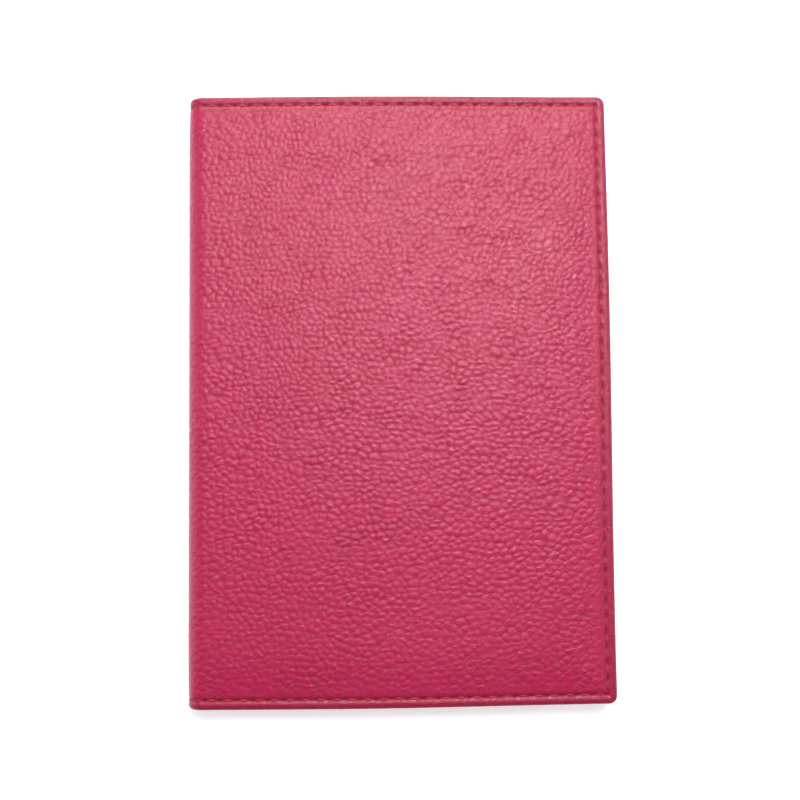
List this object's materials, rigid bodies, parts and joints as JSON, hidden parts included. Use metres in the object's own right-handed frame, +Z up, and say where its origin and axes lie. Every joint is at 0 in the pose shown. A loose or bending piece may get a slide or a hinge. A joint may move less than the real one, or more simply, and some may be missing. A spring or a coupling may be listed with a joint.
{
  "type": "passport holder",
  "caption": "Folding leather passport holder with padded stitched covers, a passport sleeve, a slip pocket and stepped card pockets.",
  "frame": {"origin": "middle of the face it rests on, closed, lying on its back cover", "axes": "+X from the spine to the opening edge, +Y from the tail to the head of the covers, +Z up out of the front cover"},
  "size_m": [0.097, 0.14, 0.0096],
  "materials": {
    "outer_leather": "pebbled grain, soft sheen",
    "pocket_leather": "fine grain, soft sheen",
    "lining_cloth": "plain twill, matt",
    "backing_cloth": "thin plain weave, matt",
    "stitching": "bonded thread, slight sheen",
    "foam": "closed-cell foam, matt",
    "board": "grey bonded board, matt",
    "tape": "woven reinforcing tape, matt"
  },
  "bodies": {
    "back_cover": {"back_outer_leather": "outer_leather", "back_foam_pad": "foam", "back_stiffener_board": "board", "back_lining": "lining_cloth", "passport_sleeve": "pocket_leather", "passport_sleeve_backing": "backing_cloth", "back_needle_thread": "stitching", "back_bobbin_thread": "stitching", "sleeve_edge_thread": "stitching"},
    "spine": {"spine_outer_leather": "outer_leather", "spine_tape": "tape", "spine_lining": "lining_cloth", "spine_needle_thread": "stitching", "spine_bobbin_thread": "stitching"},
    "front_cover": {"front_outer_leather": "outer_leather", "front_foam_pad": "foam", "front_stiffener_board": "board", "front_lining": "lining_cloth", "slip_pocket_panel": "pocket_leather", "slip_pocket_backing": "backing_cloth", "card_pocket_upper": "pocket_leather", "card_pocket_middle": "pocket_leather", "card_pocket_lower": "pocket_leather", "front_needle_thread": "stitching", "front_bobbin_thread": "stitching", "card_seam_thread": "stitching"}
  },
  "joints": [
    {"name": "spine_turn", "type": "hinge", "parent": "back_cover", "child": "spine", "pos_m": [-0.0475, 0, 0.001], "axis": [0, -1, 0], "range_deg": [0, 90]},
    {"name": "cover_opening", "type": "hinge", "parent": "spine", "child": "front_cover", "pos_m": [-0.0475, 0, 0.0086], "axis": [0, -1, 0], "range_deg": [0, 90]}
  ],
  "couplings": [
    {"joint": "spine_turn", "follows": "cover_opening", "ratio": 1}
  ]
}
